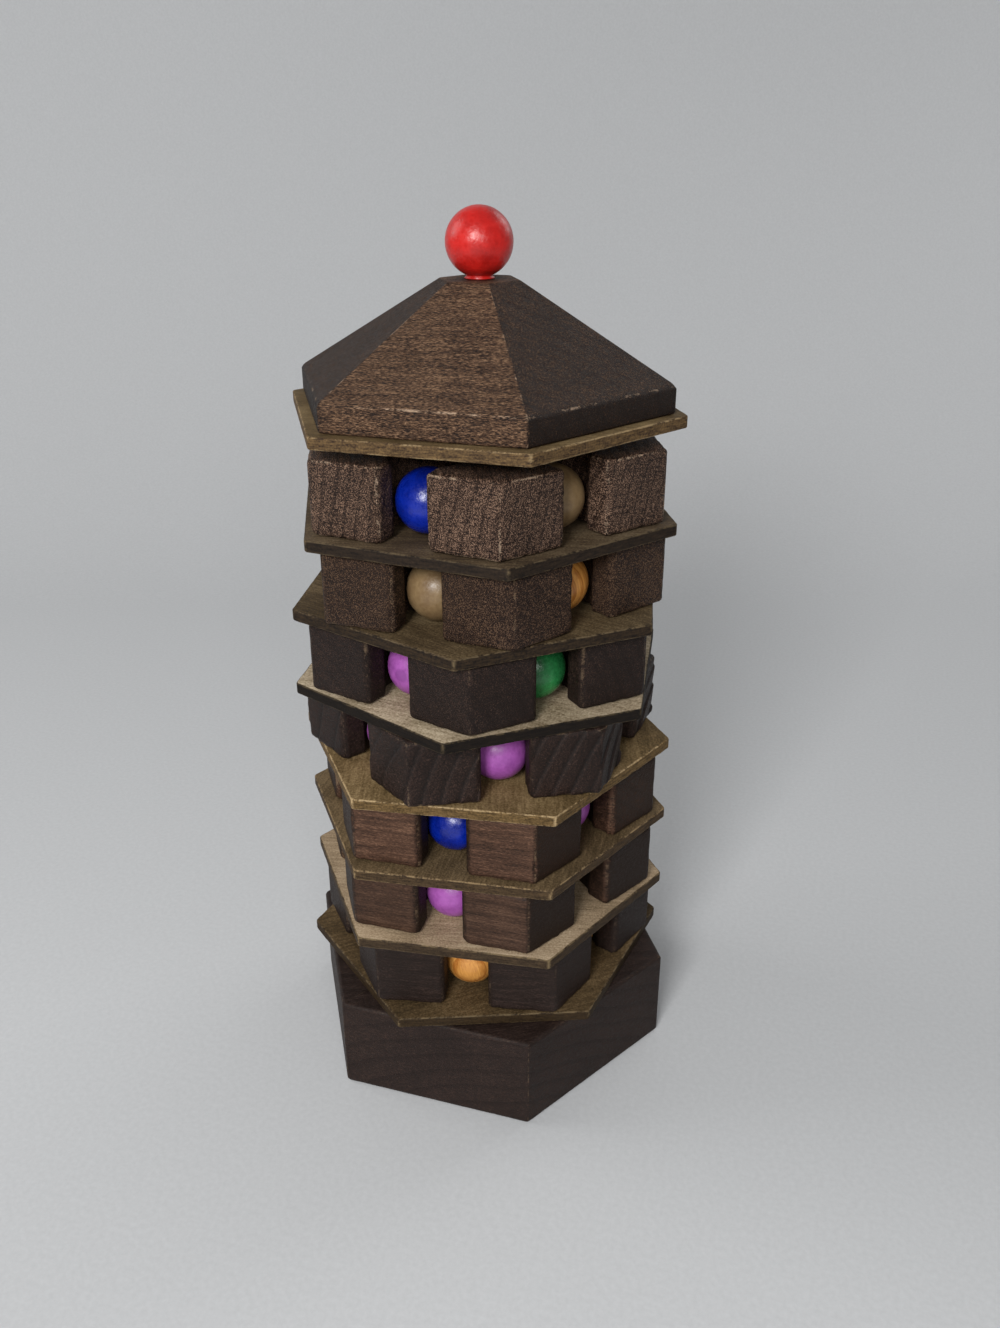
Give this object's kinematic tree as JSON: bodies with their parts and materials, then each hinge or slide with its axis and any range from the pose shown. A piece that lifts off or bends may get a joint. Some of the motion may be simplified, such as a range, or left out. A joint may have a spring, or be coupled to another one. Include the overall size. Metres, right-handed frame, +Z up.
{
  "type": "wooden maze puzzle",
  "caption": "Dark stained wooden hexagonal pagoda puzzle: tiers and thin plates turn on a dowel, coloured balls sit in cells, and a ball finial tops the roof.",
  "frame": {"origin": "middle of the base's underside, on the dowel's axis", "axes": "+Z up along the dowel, -Y through the middle of one side of the base"},
  "size_m": [0.082, 0.0776, 0.1768],
  "materials": {
    "stained_block": "dark brown stained hardwood, satin, edges rubbed lighter",
    "stained_base": "dark brown stained hardwood, satin, edges rubbed lighter",
    "stained_roof": "brown stained hardwood, satin, edges rubbed lighter",
    "stained_plate": "thin board with a worn olive brown stain, matt",
    "bare_dowel": "bare turned birch rod, matt",
    "red_paint": "turned wood, red lacquer, satin gloss",
    "blue_paint": "turned wood, blue lacquer, glossy",
    "olive_paint": "turned wood, olive brown lacquer, satin gloss",
    "green_paint": "turned wood, green lacquer, glossy",
    "pink_paint": "turned wood, orchid pink lacquer, satin gloss",
    "clear_orange_wood": "turned wood, clear orange lacquer over the grain, glossy"
  },
  "bodies": {
    "tower": {"base": "stained_base", "center_dowel": "bare_dowel", "roof_plate": "stained_plate", "roof": "stained_roof", "finial_ball": "red_paint"},
    "plate_1": {"plate_1": "stained_plate"},
    "tier_1": {"tier_1": "stained_block"},
    "plate_2": {"plate_2": "stained_plate"},
    "tier_2": {"tier_2": "stained_block"},
    "plate_3": {"plate_3": "stained_plate"},
    "tier_3": {"tier_3": "stained_block"},
    "plate_4": {"plate_4": "stained_plate"},
    "tier_4": {"tier_4": "stained_block"},
    "plate_5": {"plate_5": "stained_plate"},
    "tier_5": {"tier_5": "stained_block"},
    "plate_6": {"plate_6": "stained_plate"},
    "tier_6": {"tier_6": "stained_block"},
    "plate_7": {"plate_7": "stained_plate"},
    "tier_7": {"tier_7": "stained_block"},
    "blue_ball_tier1_cell1": {"blue_ball_tier1_cell1": "blue_paint"},
    "olive_ball_tier1_cell2": {"olive_ball_tier1_cell2": "olive_paint"},
    "green_ball_tier1_cell3": {"green_ball_tier1_cell3": "green_paint"},
    "pink_ball_tier1_cell5": {"pink_ball_tier1_cell5": "pink_paint"},
    "orange_ball_tier1_cell6": {"orange_ball_tier1_cell6": "clear_orange_wood"},
    "olive_ball_tier2_cell1": {"olive_ball_tier2_cell1": "olive_paint"},
    "orange_ball_tier2_cell2": {"orange_ball_tier2_cell2": "clear_orange_wood"},
    "blue_ball_tier2_cell3": {"blue_ball_tier2_cell3": "blue_paint"},
    "green_ball_tier2_cell5": {"green_ball_tier2_cell5": "green_paint"},
    "pink_ball_tier2_cell6": {"pink_ball_tier2_cell6": "pink_paint"},
    "pink_ball_tier3_cell1": {"pink_ball_tier3_cell1": "pink_paint"},
    "green_ball_tier3_cell2": {"green_ball_tier3_cell2": "green_paint"},
    "orange_ball_tier3_cell3": {"orange_ball_tier3_cell3": "clear_orange_wood"},
    "blue_ball_tier3_cell5": {"blue_ball_tier3_cell5": "blue_paint"},
    "olive_ball_tier3_cell6": {"olive_ball_tier3_cell6": "olive_paint"},
    "pink_ball_tier4_cell1": {"pink_ball_tier4_cell1": "pink_paint"},
    "green_ball_tier4_cell2": {"green_ball_tier4_cell2": "green_paint"},
    "olive_ball_tier4_cell3": {"olive_ball_tier4_cell3": "olive_paint"},
    "orange_ball_tier4_cell5": {"orange_ball_tier4_cell5": "clear_orange_wood"},
    "pink_ball_tier4_cell6": {"pink_ball_tier4_cell6": "pink_paint"},
    "blue_ball_tier5_cell1": {"blue_ball_tier5_cell1": "blue_paint"},
    "pink_ball_tier5_cell2": {"pink_ball_tier5_cell2": "pink_paint"},
    "olive_ball_tier5_cell3": {"olive_ball_tier5_cell3": "olive_paint"},
    "green_ball_tier5_cell5": {"green_ball_tier5_cell5": "green_paint"},
    "orange_ball_tier5_cell6": {"orange_ball_tier5_cell6": "clear_orange_wood"},
    "pink_ball_tier6_cell1": {"pink_ball_tier6_cell1": "pink_paint"},
    "green_ball_tier6_cell3": {"green_ball_tier6_cell3": "green_paint"},
    "olive_ball_tier6_cell5": {"olive_ball_tier6_cell5": "olive_paint"},
    "blue_ball_tier6_cell6": {"blue_ball_tier6_cell6": "blue_paint"},
    "orange_ball_tier7_cell1": {"orange_ball_tier7_cell1": "clear_orange_wood"},
    "orange_ball_tier7_cell2": {"orange_ball_tier7_cell2": "clear_orange_wood"},
    "blue_ball_tier7_cell3": {"blue_ball_tier7_cell3": "blue_paint"},
    "olive_ball_tier7_cell4": {"olive_ball_tier7_cell4": "olive_paint"},
    "green_ball_tier7_cell5": {"green_ball_tier7_cell5": "green_paint"},
    "blue_ball_tier7_cell6": {"blue_ball_tier7_cell6": "blue_paint"}
  },
  "joints": [
    {"name": "plate_1_turn", "type": "hinge", "parent": "tower", "child": "plate_1", "pos_m": [0, 0, 0.1217], "axis": [0, 0, 1], "continuous": true},
    {"name": "tier_1_turn", "type": "hinge", "parent": "tower", "child": "tier_1", "pos_m": [0, 0, 0.12995], "axis": [0, 0, 1], "continuous": true},
    {"name": "plate_2_turn", "type": "hinge", "parent": "tower", "child": "plate_2", "pos_m": [0, 0, 0.1052], "axis": [0, 0, 1], "continuous": true},
    {"name": "tier_2_turn", "type": "hinge", "parent": "tower", "child": "tier_2", "pos_m": [0, 0, 0.11345], "axis": [0, 0, 1], "continuous": true},
    {"name": "plate_3_turn", "type": "hinge", "parent": "tower", "child": "plate_3", "pos_m": [0, 0, 0.0887], "axis": [0, 0, 1], "continuous": true},
    {"name": "tier_3_turn", "type": "hinge", "parent": "tower", "child": "tier_3", "pos_m": [0, 0, 0.09695], "axis": [0, 0, 1], "continuous": true},
    {"name": "plate_4_turn", "type": "hinge", "parent": "tower", "child": "plate_4", "pos_m": [0, 0, 0.0722], "axis": [0, 0, 1], "continuous": true},
    {"name": "tier_4_turn", "type": "hinge", "parent": "tower", "child": "tier_4", "pos_m": [0, 0, 0.08045], "axis": [0, 0, 1], "continuous": true},
    {"name": "plate_5_turn", "type": "hinge", "parent": "tower", "child": "plate_5", "pos_m": [0, 0, 0.0557], "axis": [0, 0, 1], "continuous": true},
    {"name": "tier_5_turn", "type": "hinge", "parent": "tower", "child": "tier_5", "pos_m": [0, 0, 0.06395], "axis": [0, 0, 1], "continuous": true},
    {"name": "plate_6_turn", "type": "hinge", "parent": "tower", "child": "plate_6", "pos_m": [0, 0, 0.0392], "axis": [0, 0, 1], "continuous": true},
    {"name": "tier_6_turn", "type": "hinge", "parent": "tower", "child": "tier_6", "pos_m": [0, 0, 0.04745], "axis": [0, 0, 1], "continuous": true},
    {"name": "plate_7_turn", "type": "hinge", "parent": "tower", "child": "plate_7", "pos_m": [0, 0, 0.0227], "axis": [0, 0, 1], "continuous": true},
    {"name": "tier_7_turn", "type": "hinge", "parent": "tower", "child": "tier_7", "pos_m": [0, 0, 0.03095], "axis": [0, 0, 1], "continuous": true},
    {"name": "blue_ball_tier1_cell1_lift", "type": "slide", "parent": "tier_1", "child": "blue_ball_tier1_cell1", "axis": [0, 0, 1], "range_m": [0, 0.00475]},
    {"name": "olive_ball_tier1_cell2_lift", "type": "slide", "parent": "tier_1", "child": "olive_ball_tier1_cell2", "axis": [0, 0, 1], "range_m": [0, 0.00475]},
    {"name": "green_ball_tier1_cell3_lift", "type": "slide", "parent": "tier_1", "child": "green_ball_tier1_cell3", "axis": [0, 0, 1], "range_m": [0, 0.00475]},
    {"name": "pink_ball_tier1_cell5_lift", "type": "slide", "parent": "tier_1", "child": "pink_ball_tier1_cell5", "axis": [0, 0, 1], "range_m": [0, 0.00475]},
    {"name": "orange_ball_tier1_cell6_lift", "type": "slide", "parent": "tier_1", "child": "orange_ball_tier1_cell6", "axis": [0, 0, 1], "range_m": [0, 0.00475]},
    {"name": "olive_ball_tier2_cell1_lift", "type": "slide", "parent": "tier_2", "child": "olive_ball_tier2_cell1", "axis": [0, 0, 1], "range_m": [0, 0.0019]},
    {"name": "orange_ball_tier2_cell2_lift", "type": "slide", "parent": "tier_2", "child": "orange_ball_tier2_cell2", "axis": [0, 0, 1], "range_m": [0, 0.0019]},
    {"name": "blue_ball_tier2_cell3_lift", "type": "slide", "parent": "tier_2", "child": "blue_ball_tier2_cell3", "axis": [0, 0, 1], "range_m": [0, 0.0019]},
    {"name": "green_ball_tier2_cell5_lift", "type": "slide", "parent": "tier_2", "child": "green_ball_tier2_cell5", "axis": [0, 0, 1], "range_m": [0, 0.0019]},
    {"name": "pink_ball_tier2_cell6_lift", "type": "slide", "parent": "tier_2", "child": "pink_ball_tier2_cell6", "axis": [0, 0, 1], "range_m": [0, 0.0019]},
    {"name": "pink_ball_tier3_cell1_lift", "type": "slide", "parent": "tier_3", "child": "pink_ball_tier3_cell1", "axis": [0, 0, 1], "range_m": [0, 0.0019]},
    {"name": "green_ball_tier3_cell2_lift", "type": "slide", "parent": "tier_3", "child": "green_ball_tier3_cell2", "axis": [0, 0, 1], "range_m": [0, 0.0019]},
    {"name": "orange_ball_tier3_cell3_lift", "type": "slide", "parent": "tier_3", "child": "orange_ball_tier3_cell3", "axis": [0, 0, 1], "range_m": [0, 0.0019]},
    {"name": "blue_ball_tier3_cell5_lift", "type": "slide", "parent": "tier_3", "child": "blue_ball_tier3_cell5", "axis": [0, 0, 1], "range_m": [0, 0.0019]},
    {"name": "olive_ball_tier3_cell6_lift", "type": "slide", "parent": "tier_3", "child": "olive_ball_tier3_cell6", "axis": [0, 0, 1], "range_m": [0, 0.0019]},
    {"name": "pink_ball_tier4_cell1_lift", "type": "slide", "parent": "tier_4", "child": "pink_ball_tier4_cell1", "axis": [0, 0, 1], "range_m": [0, 0.0019]},
    {"name": "green_ball_tier4_cell2_lift", "type": "slide", "parent": "tier_4", "child": "green_ball_tier4_cell2", "axis": [0, 0, 1], "range_m": [0, 0.0019]},
    {"name": "olive_ball_tier4_cell3_lift", "type": "slide", "parent": "tier_4", "child": "olive_ball_tier4_cell3", "axis": [0, 0, 1], "range_m": [0, 0.0019]},
    {"name": "orange_ball_tier4_cell5_lift", "type": "slide", "parent": "tier_4", "child": "orange_ball_tier4_cell5", "axis": [0, 0, 1], "range_m": [0, 0.0019]},
    {"name": "pink_ball_tier4_cell6_lift", "type": "slide", "parent": "tier_4", "child": "pink_ball_tier4_cell6", "axis": [0, 0, 1], "range_m": [0, 0.0019]},
    {"name": "blue_ball_tier5_cell1_lift", "type": "slide", "parent": "tier_5", "child": "blue_ball_tier5_cell1", "axis": [0, 0, 1], "range_m": [0, 0.0019]},
    {"name": "pink_ball_tier5_cell2_lift", "type": "slide", "parent": "tier_5", "child": "pink_ball_tier5_cell2", "axis": [0, 0, 1], "range_m": [0, 0.0019]},
    {"name": "olive_ball_tier5_cell3_lift", "type": "slide", "parent": "tier_5", "child": "olive_ball_tier5_cell3", "axis": [0, 0, 1], "range_m": [0, 0.0019]},
    {"name": "green_ball_tier5_cell5_lift", "type": "slide", "parent": "tier_5", "child": "green_ball_tier5_cell5", "axis": [0, 0, 1], "range_m": [0, 0.0019]},
    {"name": "orange_ball_tier5_cell6_lift", "type": "slide", "parent": "tier_5", "child": "orange_ball_tier5_cell6", "axis": [0, 0, 1], "range_m": [0, 0.0019]},
    {"name": "pink_ball_tier6_cell1_lift", "type": "slide", "parent": "tier_6", "child": "pink_ball_tier6_cell1", "axis": [0, 0, 1], "range_m": [0, 0.0019]},
    {"name": "green_ball_tier6_cell3_lift", "type": "slide", "parent": "tier_6", "child": "green_ball_tier6_cell3", "axis": [0, 0, 1], "range_m": [0, 0.0019]},
    {"name": "olive_ball_tier6_cell5_lift", "type": "slide", "parent": "tier_6", "child": "olive_ball_tier6_cell5", "axis": [0, 0, 1], "range_m": [0, 0.0019]},
    {"name": "blue_ball_tier6_cell6_lift", "type": "slide", "parent": "tier_6", "child": "blue_ball_tier6_cell6", "axis": [0, 0, 1], "range_m": [0, 0.0019]},
    {"name": "orange_ball_tier7_cell1_lift", "type": "slide", "parent": "tier_7", "child": "orange_ball_tier7_cell1", "axis": [0, 0, 1], "range_m": [0, 0.0019]},
    {"name": "orange_ball_tier7_cell2_lift", "type": "slide", "parent": "tier_7", "child": "orange_ball_tier7_cell2", "axis": [0, 0, 1], "range_m": [0, 0.0019]},
    {"name": "blue_ball_tier7_cell3_lift", "type": "slide", "parent": "tier_7", "child": "blue_ball_tier7_cell3", "axis": [0, 0, 1], "range_m": [0, 0.0019]},
    {"name": "olive_ball_tier7_cell4_lift", "type": "slide", "parent": "tier_7", "child": "olive_ball_tier7_cell4", "axis": [0, 0, 1], "range_m": [0, 0.0019]},
    {"name": "green_ball_tier7_cell5_lift", "type": "slide", "parent": "tier_7", "child": "green_ball_tier7_cell5", "axis": [0, 0, 1], "range_m": [0, 0.0019]},
    {"name": "blue_ball_tier7_cell6_lift", "type": "slide", "parent": "tier_7", "child": "blue_ball_tier7_cell6", "axis": [0, 0, 1], "range_m": [0, 0.0019]}
  ]
}
